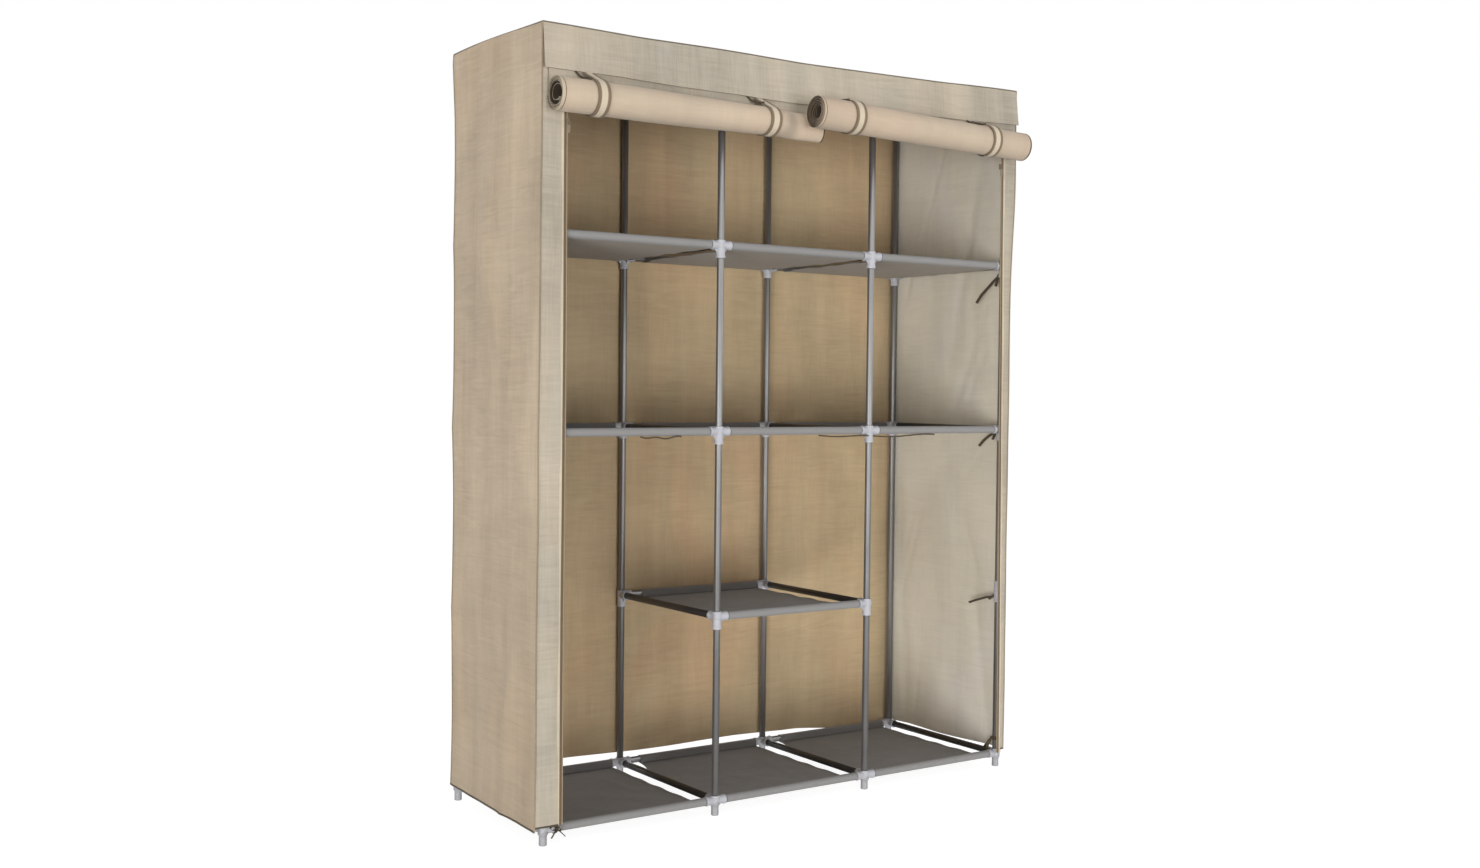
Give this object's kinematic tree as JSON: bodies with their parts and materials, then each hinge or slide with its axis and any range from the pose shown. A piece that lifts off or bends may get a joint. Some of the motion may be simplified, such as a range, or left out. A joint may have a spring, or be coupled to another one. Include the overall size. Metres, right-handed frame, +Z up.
{
  "type": "portable fabric wardrobe",
  "caption": "Free-standing wardrobe: thin steel tubes in plastic connectors carry cloth shelves under a cloth cover with roll-up doors.",
  "frame": {"origin": "on the floor, at the middle of the footprint, rolled doors included", "axes": "+Z up, +X to the right seen from the front, front towards -Y"},
  "size_m": [1.3316, 0.5806, 1.7168],
  "materials": {
    "steel_tube": "dark grey powder coat, satin",
    "connector_plastic": "light grey moulded plastic, slightly glossy",
    "shelf_cloth": "dark grey non-woven cloth",
    "cover_cloth": "beige non-woven cloth with a fine dimpled bond pattern",
    "door_cloth": "pale peach-beige non-woven cloth",
    "strap_cloth": "beige cloth band with brown bound edges",
    "zip_tape": "brown and cream coil zip tape",
    "zip_metal": "dark enamel"
  },
  "bodies": {
    "frame_and_cover": {"cover_back": "cover_cloth", "cover_left_front_strip": "cover_cloth", "cover_left_side": "cover_cloth", "cover_right_front_strip": "cover_cloth", "cover_right_side": "cover_cloth", "cover_top": "cover_cloth", "cover_valance": "cover_cloth", "depth_tube_bottom_1": "steel_tube", "depth_tube_bottom_2": "steel_tube", "depth_tube_bottom_3": "steel_tube", "depth_tube_bottom_4": "steel_tube", "depth_tube_low_2": "steel_tube", "depth_tube_low_3": "steel_tube", "depth_tube_middle_1": "steel_tube", "depth_tube_middle_2": "steel_tube", "depth_tube_middle_3": "steel_tube", "depth_tube_middle_4": "steel_tube", "depth_tube_upper_1": "steel_tube", "depth_tube_upper_2": "steel_tube", "depth_tube_upper_3": "steel_tube", "depth_tube_upper_4": "steel_tube", "post_back_1": "steel_tube", "post_back_2": "steel_tube", "post_back_3": "steel_tube", "post_back_4": "steel_tube", "post_front_1": "steel_tube", "post_front_2": "steel_tube", "post_front_3": "steel_tube", "post_front_4": "steel_tube", "rail_bottom_back": "connector_plastic", "rail_bottom_front": "connector_plastic", "rail_low_back": "connector_plastic", "rail_low_front": "connector_plastic", "rail_middle_back": "connector_plastic", "rail_middle_front": "connector_plastic", "rail_upper_back": "connector_plastic", "rail_upper_front": "connector_plastic", "shelf_bottom_1": "shelf_cloth", "shelf_bottom_2": "shelf_cloth", "shelf_bottom_3": "shelf_cloth", "shelf_low_2": "shelf_cloth", "shelf_middle_1": "shelf_cloth", "shelf_middle_2": "shelf_cloth", "shelf_middle_3": "shelf_cloth", "shelf_upper_1": "shelf_cloth", "shelf_upper_2": "shelf_cloth", "shelf_upper_3": "shelf_cloth", "strap_left_1": "strap_cloth", "strap_left_2": "strap_cloth", "strap_right_1": "strap_cloth", "strap_right_2": "strap_cloth", "top_frame": "connector_plastic", "zip_tape_left": "zip_tape", "zip_tape_right": "zip_tape"},
    "left_door": {"door_left": "door_cloth"},
    "right_door": {"door_right": "door_cloth"},
    "left_zip_slider": {"zip_slider_left": "zip_metal"},
    "left_zip_tab": {"zip_tab_left": "zip_metal"},
    "right_zip_slider": {"zip_slider_right": "zip_metal"},
    "right_zip_tab": {"zip_tab_right": "zip_metal"}
  },
  "joints": [
    {"name": "left_door_unroll", "type": "slide", "parent": "frame_and_cover", "child": "left_door", "axis": [0, 0, -1], "range_m": [0, 1.44], "deforming": ["strap_left_1", "strap_left_2"]},
    {"name": "right_door_unroll", "type": "slide", "parent": "frame_and_cover", "child": "right_door", "axis": [0, 0, -1], "range_m": [0, 1.44], "deforming": ["strap_right_1", "strap_right_2"]},
    {"name": "left_zip_run", "type": "slide", "parent": "frame_and_cover", "child": "left_zip_slider", "axis": [0, 0, -1], "range_m": [0, 1.455]},
    {"name": "left_zip_tab_flip", "type": "hinge", "parent": "left_zip_slider", "child": "left_zip_tab", "pos_m": [-0.6077, -0.16887, 1.508], "axis": [-1, 0, 0], "range_deg": [0, 90]},
    {"name": "right_zip_run", "type": "slide", "parent": "frame_and_cover", "child": "right_zip_slider", "axis": [0.0101, 0, -0.9999], "range_m": [0, 1.455]},
    {"name": "right_zip_tab_flip", "type": "hinge", "parent": "right_zip_slider", "child": "right_zip_tab", "pos_m": [0.6226, -0.16887, 1.527], "axis": [-1, 0, 0], "range_deg": [0, 90]}
  ]
}
